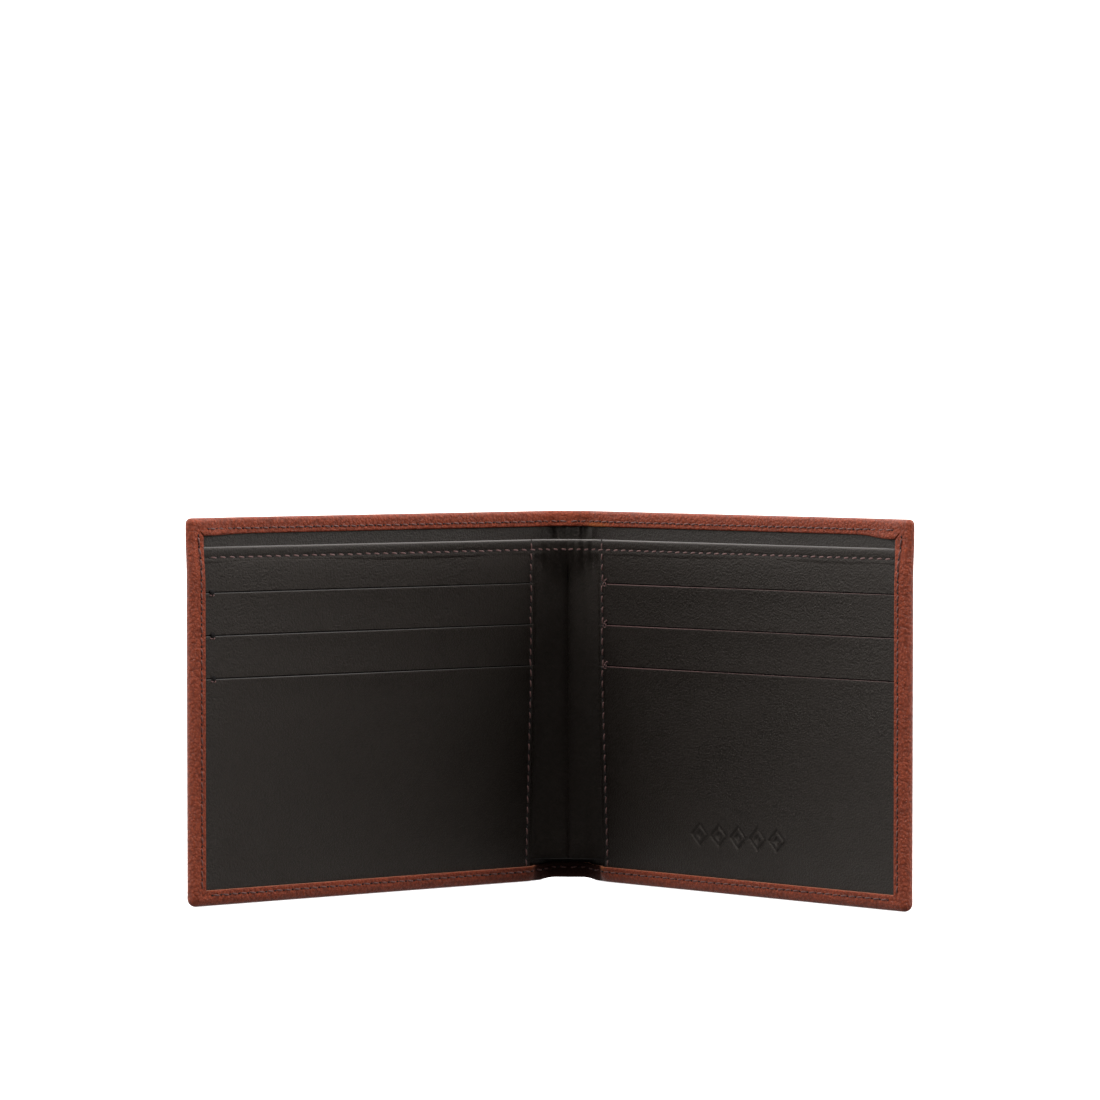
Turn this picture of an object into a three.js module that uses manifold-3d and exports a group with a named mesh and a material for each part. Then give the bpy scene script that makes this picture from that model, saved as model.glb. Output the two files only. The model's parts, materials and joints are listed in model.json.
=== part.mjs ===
// A bifold leather wallet standing on its bottom edge, opened like a book.
// One turned-edge leather cover wraps two lined wings and the spine between them. Each wing carries a
// note-pocket divider and three stepped card pockets, and sewing thread holds every edge.
//
// Units are millimetres. +Z is up along the fold, +X runs from the left wing to the right wing, and the wings
// open towards -Y. The origin is the centre of the footprint, on the surface that the wallet stands on.
//
// Each wing is modelled flat in its own frame and then turned about its crease:
//   u  distance from the crease axis, outwards along the wing
//   n  distance from the crease axis towards the inside of the wallet
//   z  height
import * as THREE from 'three';
import { mergeVertices } from 'three/addons/utils/BufferGeometryUtils.js';
import Module from 'manifold-3d';

const wasm = await Module();
wasm.setup();

// ---- Driving dimensions ----
const COVER_HEIGHT = 93;
const WING_LENGTH = 111.5; // crease axis to the wing's outer edge
const SPINE_WIDTH = 11; // between the two crease axes
const FOLD_DEGREES = 43; // each wing's turn from lying flat
const CORNER_RADIUS = 3;

const HEM_WIDTH = 4; // the cover's turned edge
const SEAM_INSET = 1.3; // from a turned edge's free side to its stitches
const CREASE_GAP = 0.7; // bare leather left each side of a crease axis
const SPINE_LIFT = 0.6; // the spine's bottom edge clears the ground by this much

const DIVIDER_TOP = 86;
const DIVIDER_SEAM_DROP = 2.6; // from the divider's folded top edge to its stitches
const PANEL_START = 8; // the card pockets' inner edge, from the crease axis
const PANEL_SEAM_INSET = 1.2;
const POCKET_MOUTHS = [75, 64.7, 54.4]; // upper, middle and lower card pockets
const POCKET_LAP = 2.6; // how far a pocket's leather runs down behind the next mouth
const CARD_DEPTH = 52; // from a pocket's mouth to the end of its fabric tail
const NOTE_POCKET_GAPE = 3.3; // how far the divider stands off the lining at its top inner corner

// ---- Leather, board, fabric and thread, as layers across a wing ----
const COVER_SKIN = [-0.4, 0.4];
const BOARD = [0.45, 0.7];
const LINING = [0.75, 0.9];
const TOP_HEM = [0.95, 1.45];
const DIVIDER_LINING = [0.95, 1.05];
const DIVIDER = [1.1, 1.45];
const UPPER_TAIL = [1.5, 1.58];
const MIDDLE_TAIL = [1.63, 1.71];
const UPPER_POCKET = [1.5, 1.85];
const MIDDLE_POCKET = [1.9, 2.25];
const LOWER_POCKET = [2.3, 2.65];
const RIM_HEM = [2.7, 3.2];

const LAYER_GAP = 0.05;
const THREAD_HEIGHT = 0.2;
const THREAD_WIDTH = 0.4;

const FOLD = THREE.MathUtils.degToRad(FOLD_DEGREES);
const SKIN = COVER_SKIN[1] - COVER_SKIN[0];
const HALF_SPINE = SPINE_WIDTH / 2;
const WRAP_INSIDE = WING_LENGTH - SKIN; // inner face of the cover where it turns round the outer edge
const RIM_START = WING_LENGTH - HEM_WIDTH; // the side hem's free edge
const LOW_HEM_START = 2.2; // hems start clear of the crease, so that it can close
const HIGH_HEM_START = PANEL_START - 1.6; // the bottom hem rises over the pockets here
const RIM_SEAM_U = RIM_START + SEAM_INSET;
const BOTTOM_SEAM_Z = HEM_WIDTH - SEAM_INSET;
const TOP_SEAM_Z = COVER_HEIGHT - HEM_WIDTH + SEAM_INSET;

// The footprint runs from the wing tips' inner faces to the thread on the back of the spine.
const FOOTPRINT_FRONT = WING_LENGTH * Math.sin(FOLD) + RIM_HEM[1] * Math.cos(FOLD);
const FOOTPRINT_BACK = -COVER_SKIN[0] + LAYER_GAP + THREAD_HEIGHT;
const CREASE_Y = (FOOTPRINT_FRONT - FOOTPRINT_BACK) / 2;

// ---- Materials ----
const leather = (color, roughness) => new THREE.MeshStandardMaterial({ color, roughness, metalness: 0 });
const BROWN_LEATHER = leather(0x7a3a26, 0.42);
const DARK_LEATHER = leather(0x2d2826, 0.5);
const LINING_LEATHER = leather(0x33302e, 0.55);
const POCKET_FABRIC = leather(0x241f1d, 0.9);
const STIFFENER_BOARD = leather(0x8a6a48, 0.95);
const BROWN_THREAD = leather(0x4a2620, 0.7);

// ---- Solids ----
function solidFrom(geometry) {
  const bare = geometry.index ? geometry.toNonIndexed() : geometry.clone();
  bare.deleteAttribute('normal');
  bare.deleteAttribute('uv');
  const merged = mergeVertices(bare, 1e-4);
  return new wasm.Manifold(
    new wasm.Mesh({
      numProp: 3,
      vertProperties: merged.attributes.position.array,
      triVerts: new Uint32Array(merged.index.array),
    }),
  );
}

function geometryFrom(solid) {
  const { vertProperties, triVerts } = solid.getMesh();
  const geometry = new THREE.BufferGeometry();
  geometry.setAttribute('position', new THREE.BufferAttribute(vertProperties, 3));
  geometry.setIndex(new THREE.BufferAttribute(triVerts, 1));
  geometry.computeVertexNormals();
  return geometry;
}

// A block between two values of u, a layer's two values of n, and two heights.
function block([u0, u1], [n0, n1], [z0, z1]) {
  const box = new THREE.BoxGeometry(u1 - u0, n1 - n0, z1 - z0);
  box.translate((u0 + u1) / 2, -(n0 + n1) / 2, (z0 + z1) / 2);
  return solidFrom(box);
}

const joined = (solids) => solids.reduce((sum, solid) => sum.add(solid));

// A prism across the whole wing whose two outer corners are rounded.
function roundedOutline() {
  const outline = new THREE.Shape();
  outline.moveTo(-SPINE_WIDTH, 0);
  outline.lineTo(WING_LENGTH - CORNER_RADIUS, 0);
  outline.absarc(WING_LENGTH - CORNER_RADIUS, CORNER_RADIUS, CORNER_RADIUS, -Math.PI / 2, 0, false);
  outline.lineTo(WING_LENGTH, COVER_HEIGHT - CORNER_RADIUS);
  outline.absarc(
    WING_LENGTH - CORNER_RADIUS, COVER_HEIGHT - CORNER_RADIUS, CORNER_RADIUS, 0, Math.PI / 2, false);
  outline.lineTo(-SPINE_WIDTH, COVER_HEIGHT);
  const prism = new THREE.ExtrudeGeometry(outline, { depth: 20, bevelEnabled: false, curveSegments: 4 });
  prism.rotateX(Math.PI / 2);
  prism.translate(0, 10, 0);
  return solidFrom(prism);
}

// A closed sheet from rows of section points. Each row is one height's outline, as [x, y, z] points: along the
// back, then the same way back along the front. Both faces split their squares the same way, to stay parallel.
function lofted(rows) {
  const count = rows[0].length;
  const half = count / 2;
  const positions = rows.flat(2);
  const index = [];
  for (let r = 0; r + 1 < rows.length; r++) {
    for (let i = 0; i < count; i++) {
      const a = r * count + i;
      const b = r * count + ((i + 1) % count);
      if (i < half) index.push(a, b, b + count, a, b + count, a + count);
      else index.push(a, b, a + count, b, b + count, a + count);
    }
  }
  const top = (rows.length - 1) * count;
  for (let i = 0; i + 1 < half; i++) {
    const j = count - 1 - i;
    index.push(i, j, j - 1, i, j - 1, i + 1);
    index.push(top + i, top + j - 1, top + j, top + i, top + i + 1, top + j - 1);
  }
  const geometry = new THREE.BufferGeometry();
  geometry.setAttribute('position', new THREE.Float32BufferAttribute(positions, 3));
  geometry.setIndex(index);
  geometry.computeVertexNormals();
  return geometry;
}

// How far the divider and its card pockets stand off the lining: nothing along the sewn side and bottom, and
// the most at the top inner corner, where the note pocket gapes.
function gape(u, z) {
  const across = THREE.MathUtils.clamp((RIM_START - u) / (RIM_START - PANEL_START), 0, 1);
  const up = THREE.MathUtils.clamp((z - HEM_WIDTH) / (DIVIDER_TOP - HEM_WIDTH), 0, 1);
  return NOTE_POCKET_GAPE * across * up;
}

// Every sheet is cut at the same stations, so that neighbouring layers stay parallel.
const U_STATIONS = [34, 60, 84, RIM_START];
const Z_STATIONS = [HEM_WIDTH, 12, 22, 33, 44, ...POCKET_MOUTHS,
  ...POCKET_MOUTHS.slice(1).map((mouth) => mouth - POCKET_LAP), 80, DIVIDER_TOP].sort((a, b) => a - b);

const stations = (all, [low, high]) => [low, ...all.filter((v) => v > low + 0.01 && v < high - 0.01), high];

// A thin sheet between two values of u and two heights, in a layer that follows the gape.
function panelSheet(uRange, [n0, n1], zRange) {
  const us = stations(U_STATIONS, uRange);
  const rows = stations(Z_STATIONS, zRange).map((z) => [
    ...us.map((u) => [u, -(n0 + gape(u, z)), z]).reverse(),
    ...us.map((u) => [u, -(n1 + gape(u, z)), z]),
  ]);
  return lofted(rows);
}

// ---- The wing's pieces, each as a geometry in the wing's own frame ----
function coverWing() {
  const full = [0, COVER_HEIGHT];
  const lowHem = [LOW_HEM_START, HIGH_HEM_START + SKIN];
  const highHem = [HIGH_HEM_START, WING_LENGTH];
  const skin = block([CREASE_GAP, WING_LENGTH], COVER_SKIN, full);
  const sideWrap = block([WRAP_INSIDE, WING_LENGTH], [COVER_SKIN[0], RIM_HEM[1]], full);
  const sideHem = block([RIM_START, WING_LENGTH], RIM_HEM, full);
  const bottomWrap = block(highHem, [COVER_SKIN[0], RIM_HEM[1]], [0, SKIN]);
  const bottomHem = block(highHem, RIM_HEM, [0, HEM_WIDTH]);
  const lowBottomWrap = block(lowHem, [COVER_SKIN[0], TOP_HEM[1]], [0, SKIN]);
  const lowBottomHem = block([LOW_HEM_START, HIGH_HEM_START], TOP_HEM, [0, HEM_WIDTH]);
  const topRun = [LOW_HEM_START, WING_LENGTH];
  const topWrap = block(topRun, [COVER_SKIN[0], TOP_HEM[1]], [COVER_HEIGHT - SKIN, COVER_HEIGHT]);
  const topHem = block(topRun, TOP_HEM, [COVER_HEIGHT - HEM_WIDTH, COVER_HEIGHT]);
  const whole = joined([
    skin, sideWrap, sideHem, bottomWrap, bottomHem, lowBottomWrap, lowBottomHem, topWrap, topHem,
  ]);
  return geometryFrom(whole.intersect(roundedOutline()));
}

function coverLining() {
  const inset = SKIN + LAYER_GAP;
  return geometryFrom(
    block([1.6, WING_LENGTH - inset], LINING, [inset, COVER_HEIGHT - inset]).intersect(roundedOutline()));
}

function stiffener() {
  const margin = HEM_WIDTH + 0.5;
  return geometryFrom(
    block([PANEL_START + 2, WING_LENGTH - margin], BOARD, [margin, COVER_HEIGHT - margin]));
}

const PANEL_U = [PANEL_START, WRAP_INSIDE - LAYER_GAP];
const PANEL_BOTTOM = SKIN + LAYER_GAP;
const [UPPER_MOUTH, MIDDLE_MOUTH, LOWER_MOUTH] = POCKET_MOUTHS;

const dividerLining = () => panelSheet(PANEL_U, DIVIDER_LINING, [PANEL_BOTTOM, DIVIDER_TOP - 0.6]);
const divider = () => panelSheet(PANEL_U, DIVIDER, [PANEL_BOTTOM, DIVIDER_TOP]);
const upperPocket = () => panelSheet(PANEL_U, UPPER_POCKET, [MIDDLE_MOUTH - POCKET_LAP, UPPER_MOUTH]);
const middlePocket = () => panelSheet(PANEL_U, MIDDLE_POCKET, [LOWER_MOUTH - POCKET_LAP, MIDDLE_MOUTH]);
const lowerPocket = () => panelSheet(PANEL_U, LOWER_POCKET, [PANEL_BOTTOM, LOWER_MOUTH]);
const upperTail = () =>
  panelSheet(PANEL_U, UPPER_TAIL, [UPPER_MOUTH - CARD_DEPTH, MIDDLE_MOUTH - POCKET_LAP - LAYER_GAP]);
const middleTail = () =>
  panelSheet(PANEL_U, MIDDLE_TAIL, [MIDDLE_MOUTH - CARD_DEPTH, LOWER_MOUTH - POCKET_LAP - LAYER_GAP]);

// ---- Thread ----
const above = (layer) => [layer[1] + LAYER_GAP, layer[1] + LAYER_GAP + THREAD_HEIGHT];
const threadBand = (middle) => [middle - THREAD_WIDTH / 2, middle + THREAD_WIDTH / 2];
const BOBBIN = [COVER_SKIN[0] - LAYER_GAP - THREAD_HEIGHT, COVER_SKIN[0] - LAYER_GAP];

function rimThread() {
  const side = block(threadBand(RIM_SEAM_U), above(RIM_HEM), [BOTTOM_SEAM_Z, TOP_SEAM_Z]);
  const bottom = block([HIGH_HEM_START + 0.4, RIM_SEAM_U], above(RIM_HEM), threadBand(BOTTOM_SEAM_Z));
  return geometryFrom(joined([side, bottom]));
}

const topThread = () =>
  geometryFrom(block([LOW_HEM_START + 0.2, RIM_START], above(TOP_HEM), threadBand(TOP_SEAM_Z)));

function bobbinThread() {
  const side = block(threadBand(RIM_SEAM_U), BOBBIN, [BOTTOM_SEAM_Z, TOP_SEAM_Z]);
  const bottom = block([CREASE_GAP + 0.2, RIM_SEAM_U], BOBBIN, threadBand(BOTTOM_SEAM_Z));
  const top = block([CREASE_GAP + 0.2, RIM_SEAM_U], BOBBIN, threadBand(TOP_SEAM_Z));
  return geometryFrom(joined([side, bottom, top]));
}

const dividerThread = () =>
  panelSheet([PANEL_START + 0.2, RIM_START - 0.2], above(DIVIDER), threadBand(DIVIDER_TOP - DIVIDER_SEAM_DROP));

// The pocket thread runs down the card pockets' inner edge and steps forward over each pocket's mouth.
function pocketThread() {
  const u = threadBand(PANEL_START + PANEL_SEAM_INSET);
  const step = 0.5;
  const levels = [
    [HEM_WIDTH + 0.3, LOWER_POCKET],
    [LOWER_MOUTH + step, LOWER_POCKET],
    [LOWER_MOUTH + 2 * step, MIDDLE_POCKET],
    [MIDDLE_MOUTH + step, MIDDLE_POCKET],
    [MIDDLE_MOUTH + 2 * step, UPPER_POCKET],
    [UPPER_MOUTH + step, UPPER_POCKET],
    [UPPER_MOUTH + 2 * step, DIVIDER],
    [DIVIDER_TOP - DIVIDER_SEAM_DROP - THREAD_WIDTH, DIVIDER],
  ];
  const rows = levels.map(([z, layer]) => {
    const [back, front] = above(layer).map((n) => -(n + gape(u[0], z)));
    return [[u[1], back, z], [u[0], back, z], [u[0], front, z], [u[1], front, z]];
  });
  return lofted(rows);
}

// ---- The spine's pieces, in a frame centred between the creases ----
const SPINE_REACH = [-(HALF_SPINE - CREASE_GAP), HALF_SPINE - CREASE_GAP];

function spineCover() {
  const skin = block(SPINE_REACH, COVER_SKIN, [SPINE_LIFT, COVER_HEIGHT]);
  const bottomEdge = [SPINE_LIFT, SPINE_LIFT + SKIN];
  const topEdge = [COVER_HEIGHT - SKIN, COVER_HEIGHT];
  const bottomWrap = block(SPINE_REACH, [COVER_SKIN[0], TOP_HEM[1]], bottomEdge);
  const bottomHem = block(SPINE_REACH, TOP_HEM, [SPINE_LIFT, HEM_WIDTH]);
  const topWrap = block(SPINE_REACH, [COVER_SKIN[0], TOP_HEM[1]], topEdge);
  const topHem = block(SPINE_REACH, TOP_HEM, [COVER_HEIGHT - HEM_WIDTH, COVER_HEIGHT]);
  return geometryFrom(joined([skin, bottomWrap, bottomHem, topWrap, topHem]));
}

const spineLining = () =>
  geometryFrom(block(SPINE_REACH, LINING, [SPINE_LIFT + SKIN + LAYER_GAP, COVER_HEIGHT - SKIN - LAYER_GAP]));

const spineThread = (layer, z) => geometryFrom(block(SPINE_REACH, layer, threadBand(z)));

// The gusset is the divider's soft middle: a valley between the card pockets' inner edges.
const GUSSET_BOTTOM = 5.5;
const GUSSET_VALLEY = 6.1; // the valley's floor, in front of the crease axes
const GUSSET_EDGE_U = PANEL_START - 0.4;

// A sheet that hangs in the valley, from one divider edge to the other. Its layer is measured from the divider's.
function gussetSheet([back, front], zRange) {
  const wingPoint = (side, n, z) => {
    const depth = n + gape(PANEL_START, z);
    return [
      side * (HALF_SPINE + GUSSET_EDGE_U * Math.cos(FOLD) - depth * Math.sin(FOLD)),
      -(GUSSET_EDGE_U * Math.sin(FOLD) + depth * Math.cos(FOLD)),
      z,
    ];
  };
  const valley = (n, z) => [0, -(GUSSET_VALLEY + n - DIVIDER[0]), z];
  const rows = stations(Z_STATIONS, zRange).map((z) => [
    wingPoint(1, back, z), valley(back, z), wingPoint(-1, back, z),
    wingPoint(-1, front, z), valley(front, z), wingPoint(1, front, z),
  ]);
  return lofted(rows);
}

const gusset = () => gussetSheet(DIVIDER, [GUSSET_BOTTOM, DIVIDER_TOP]);
const gussetLining = () => gussetSheet(DIVIDER_LINING, [GUSSET_BOTTOM + 0.6, DIVIDER_TOP - 0.6]);
const gussetThread = () => gussetSheet(above(DIVIDER), threadBand(DIVIDER_TOP - DIVIDER_SEAM_DROP));

// ---- Assembly ----
function piece(name, geometry, material) {
  const mesh = new THREE.Mesh(geometry, material);
  mesh.name = name;
  return mesh;
}

// The right wing is turned about its crease, and the left wing is its mirror image.
function wing(side) {
  const turned = new THREE.Group();
  turned.position.set(HALF_SPINE, CREASE_Y, 0);
  turned.rotation.z = -FOLD;
  const add = (name, geometry, material) => turned.add(piece(`${side}_${name}`, geometry, material));
  add('cover', coverWing(), BROWN_LEATHER);
  add('stiffener', stiffener(), STIFFENER_BOARD);
  add('cover_lining', coverLining(), LINING_LEATHER);
  add('divider_lining', dividerLining(), POCKET_FABRIC);
  add('divider', divider(), DARK_LEATHER);
  add('upper_card_pocket', upperPocket(), DARK_LEATHER);
  add('upper_pocket_lining', upperTail(), POCKET_FABRIC);
  add('middle_card_pocket', middlePocket(), DARK_LEATHER);
  add('middle_pocket_lining', middleTail(), POCKET_FABRIC);
  add('lower_card_pocket', lowerPocket(), DARK_LEATHER);
  add('rim_thread', rimThread(), BROWN_THREAD);
  add('top_thread', topThread(), BROWN_THREAD);
  add('divider_thread', dividerThread(), BROWN_THREAD);
  add('pocket_thread', pocketThread(), BROWN_THREAD);
  add('bobbin_thread', bobbinThread(), BROWN_THREAD);
  const mirrored = new THREE.Group();
  mirrored.scale.x = side === 'left' ? -1 : 1;
  mirrored.add(turned);
  return mirrored;
}

function spine() {
  const group = new THREE.Group();
  group.position.y = CREASE_Y;
  const add = (name, geometry, material) => group.add(piece(name, geometry, material));
  add('spine_cover', spineCover(), BROWN_LEATHER);
  add('spine_lining', spineLining(), LINING_LEATHER);
  add('gusset', gusset(), DARK_LEATHER);
  add('gusset_lining', gussetLining(), POCKET_FABRIC);
  add('gusset_thread', gussetThread(), BROWN_THREAD);
  add('spine_top_thread', spineThread(above(TOP_HEM), TOP_SEAM_Z), BROWN_THREAD);
  add('spine_bottom_thread', spineThread(above(TOP_HEM), BOTTOM_SEAM_Z), BROWN_THREAD);
  add('spine_top_bobbin_thread', spineThread(BOBBIN, TOP_SEAM_Z), BROWN_THREAD);
  add('spine_bottom_bobbin_thread', spineThread(BOBBIN, BOTTOM_SEAM_Z), BROWN_THREAD);
  return group;
}

const wallet = new THREE.Group();
wallet.add(wing('left'), spine(), wing('right'));

export default wallet;
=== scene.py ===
import json
import math

import bpy
from mathutils import Matrix, Vector, noise


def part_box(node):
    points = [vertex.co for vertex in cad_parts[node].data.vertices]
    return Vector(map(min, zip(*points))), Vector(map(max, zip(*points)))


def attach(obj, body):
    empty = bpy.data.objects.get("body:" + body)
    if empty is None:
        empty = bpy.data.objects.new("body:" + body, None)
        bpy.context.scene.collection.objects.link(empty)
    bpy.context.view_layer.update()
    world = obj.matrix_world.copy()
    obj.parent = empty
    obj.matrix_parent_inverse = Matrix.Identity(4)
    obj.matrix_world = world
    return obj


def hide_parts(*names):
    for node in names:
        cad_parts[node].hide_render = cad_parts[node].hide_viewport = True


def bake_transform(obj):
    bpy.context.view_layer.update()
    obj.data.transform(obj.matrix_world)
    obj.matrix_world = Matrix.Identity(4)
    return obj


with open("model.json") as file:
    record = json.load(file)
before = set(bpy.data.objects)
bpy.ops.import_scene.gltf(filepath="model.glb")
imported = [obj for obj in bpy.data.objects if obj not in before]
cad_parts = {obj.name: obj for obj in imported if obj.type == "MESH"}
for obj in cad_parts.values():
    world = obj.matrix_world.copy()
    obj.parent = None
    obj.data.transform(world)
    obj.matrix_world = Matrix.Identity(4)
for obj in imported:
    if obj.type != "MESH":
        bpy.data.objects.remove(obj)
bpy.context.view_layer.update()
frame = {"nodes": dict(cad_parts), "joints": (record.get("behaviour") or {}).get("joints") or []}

# ---- The cover ----
# One sheet of pebbled red-brown leather, turned over at all four edges to make the hems. Each piece of the
# wallet is shaped flat, as a right-hand piece with its inside towards -Y, and is then folded up round the
# crease beside the spine. A left-hand piece is mirrored last.
mm = 0.001
joints = {joint["name"]: joint for joint in frame["joints"]}
crease_x, crease_y = joints["right_fold"]["pos_m"][:2]
fold = math.radians(-joints["right_fold"]["range_deg"][0])
bend_reach = 3.5 * mm
sides = {"left": -1, "right": 1}


def smooth(low, high, value):
    t = min(max((value - low) / (high - low), 0), 1)
    return t * t * (3 - 2 * t)


def hump(value, middle, width):
    """1 at the middle, falling away smoothly on both sides."""
    return math.exp(-(((value - middle) / width) ** 2))


def fold_up(x, inwards, z):
    """The place of a point of the flat wallet once its wing is folded up."""
    u = x - crease_x
    turn = -fold * smooth(-bend_reach, bend_reach, u)
    c, s = math.cos(turn), math.sin(turn)
    return Vector((crease_x + u * c + inwards * s, crease_y + u * s - inwards * c, z))


def laid_flat(node):
    """The lowest and highest corners of a right-hand node laid flat, each as (x, inwards, z)."""
    c, s = math.cos(fold), math.sin(fold)
    points = []
    for vertex in frame["nodes"][node].data.vertices:
        x, y = vertex.co.x - crease_x, vertex.co.y - crease_y
        points.append((crease_x + x * c - y * s, -x * s - y * c, vertex.co.z))
    return [min(p[i] for p in points) for i in range(3)], [max(p[i] for p in points) for i in range(3)]


def spread(low, high, step):
    """Evenly spaced values from low to high, both included."""
    count = max(1, round((high - low) / step))
    return [low + (high - low) * i / count for i in range(count + 1)]


def cut_blank(name, across, up):
    """A flat piece marked out by bisecting a plane at each value of x and z."""
    bpy.ops.object.select_all(action="DESELECT")
    middle = ((across[0] + across[-1]) / 2, 0, (up[0] + up[-1]) / 2)
    bpy.ops.mesh.primitive_plane_add(size=1, rotation=(math.pi / 2, 0, 0), location=middle)
    piece = bpy.context.object
    piece.name = name
    piece.data.name = name
    piece.scale = (across[-1] - across[0], up[-1] - up[0], 1)
    bpy.ops.object.transform_apply(location=True, rotation=True, scale=True)
    bpy.ops.object.mode_set(mode="EDIT")
    for axis, values in ((Vector((1, 0, 0)), across), (Vector((0, 0, 1)), up)):
        for value in values[1:-1]:
            bpy.ops.mesh.select_all(action="SELECT")
            bpy.ops.mesh.bisect(plane_co=axis * value, plane_no=axis, threshold=1e-6)
    bpy.ops.object.mode_set(mode="OBJECT")
    return piece


def trim(piece, unwanted):
    """Cuts away the faces whose middle, as x and z, is unwanted."""
    bpy.ops.object.mode_set(mode="EDIT")
    bpy.ops.mesh.select_all(action="DESELECT")
    bpy.ops.mesh.select_mode(type="FACE")
    bpy.ops.object.mode_set(mode="OBJECT")
    for face in piece.data.polygons:
        face.select = unwanted(face.center.x, face.center.z)
    bpy.ops.object.mode_set(mode="EDIT")
    bpy.ops.mesh.delete(type="FACE")
    bpy.ops.object.mode_set(mode="OBJECT")


def form(piece, place):
    """Moves each point of a flat blank to place(x, z), and keeps where it lay on the hide for the grain."""
    hide = piece.data.attributes.new("hide", "FLOAT_VECTOR", "POINT")
    for i, vertex in enumerate(piece.data.vertices):
        hide.data[i].vector = vertex.co
        vertex.co = place(vertex.co.x, vertex.co.z)


def finish_modifier(piece, kind, **settings):
    modifier = piece.modifiers.new(kind.title(), kind)
    for key, value in settings.items():
        setattr(modifier, key, value)
    bpy.ops.object.select_all(action="DESELECT")
    piece.select_set(True)
    bpy.context.view_layer.objects.active = piece
    bpy.ops.object.modifier_apply(modifier=modifier.name)


def meet_in_the_middle(piece):
    """Squares off the end where a half meets the other one in the middle of the spine, so no line shows."""
    end_reach = 0.25 * mm
    bpy.ops.object.mode_set(mode="EDIT")
    bpy.ops.mesh.select_all(action="DESELECT")
    bpy.ops.mesh.select_mode(type="VERT")
    bpy.ops.object.mode_set(mode="OBJECT")
    for vertex in piece.data.vertices:
        vertex.select = vertex.co.x < end_reach
    bpy.ops.object.mode_set(mode="EDIT")
    bpy.ops.transform.resize(value=(0, 1, 1), center_override=(0, 0, 0))
    bpy.ops.transform.edge_crease(value=1)
    bpy.ops.mesh.mark_sharp()
    bpy.ops.object.mode_set(mode="OBJECT")


def weld(piece):
    bpy.ops.object.mode_set(mode="EDIT")
    bpy.ops.mesh.select_all(action="SELECT")
    bpy.ops.mesh.remove_doubles(threshold=0.01 * mm)
    bpy.ops.object.mode_set(mode="OBJECT")


def mirror_left(piece, side):
    if side == "left":
        piece.data.transform(Matrix.Scale(-1, 4, Vector((1, 0, 0))))
        piece.data.flip_normals()
    piece.data.shade_smooth()


def bend_with(piece, start, end):
    """Bakes the transform of a piece that crosses the crease into its mesh."""
    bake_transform(piece)


crease_start = (crease_x - bend_reach, crease_y)
crease_end = tuple(fold_up(crease_x + bend_reach, 0, 0)[:2])

_, (outer_x, _, height) = laid_flat("right_cover")
cover_skin = 0.7 * mm
hem_width = height - laid_flat("right_top_thread")[0][2] + 1.1 * mm
seam_inset = 2.7 * mm
wide_roll, narrow_roll, corner_roll = 1.58 * mm, 0.66 * mm, 1.0 * mm
groove_width = 0.4 * mm  # how far to each side a seam draws the leather in
roll_run, flap_run = 5 * mm, 2.4 * mm  # how much of the blank goes round the roll, and into the hem beyond it
corner_from, corner_to = 12 * mm, 4 * mm  # how far from a top corner a roll starts and ends its change
corner_web = {"left": 0.35 * mm, "right": 0.9 * mm}  # how much wider the hems get where they meet at the top
wave_seed = {"left": 3.7, "right": 9.1}
face_x = outer_x - cover_skin / 2 - wide_roll
face_low = cover_skin / 2 + wide_roll
face_high = height - cover_skin / 2 - narrow_roll
spine_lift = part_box("spine_cover")[0].z
pocket_x = laid_flat("right_lower_card_pocket")[0][0]


def side_roll(z):
    return wide_roll + (corner_roll - wide_roll) * smooth(height - corner_from, height - corner_to, z)


def bottom_roll(x):
    return narrow_roll + (wide_roll - narrow_roll) * smooth(pocket_x - 2.6 * mm, pocket_x - 0.2 * mm, x)


def top_roll(x):
    near_corner = smooth(outer_x - corner_from, outer_x - corner_to, x)
    return narrow_roll + (corner_roll - narrow_roll) * near_corner


def raised(x, z):
    """The height of a point once the spine's bottom edge is lifted."""
    return z + spine_lift * (1 - smooth(crease_x - 2 * mm, crease_x + 3.5 * mm, x)) * (1 - z / height)


def round_the_edge(run, roll, wider=0.0):
    """How far beyond the roll's middle, and how far inwards, the leather lies after that much of it."""
    if run <= roll_run:
        angle = math.pi * run / roll_run
        return roll * math.sin(angle), roll * (1 - math.cos(angle))
    share = (run - roll_run) / flap_run
    to_seam = seam_inset - cover_skin / 2 - roll
    to_edge = hem_width - seam_inset + wider
    back = 2 * share * to_seam if share < 0.5 else to_seam + (2 * share - 1) * to_edge
    groove = 0.13 * mm * hump(back, to_seam, groove_width)
    return -back, 2 * roll - groove


def stretch(value, low, high, new_low, new_high):
    return new_low + (value - low) * (new_high - new_low) / (high - low)


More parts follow.
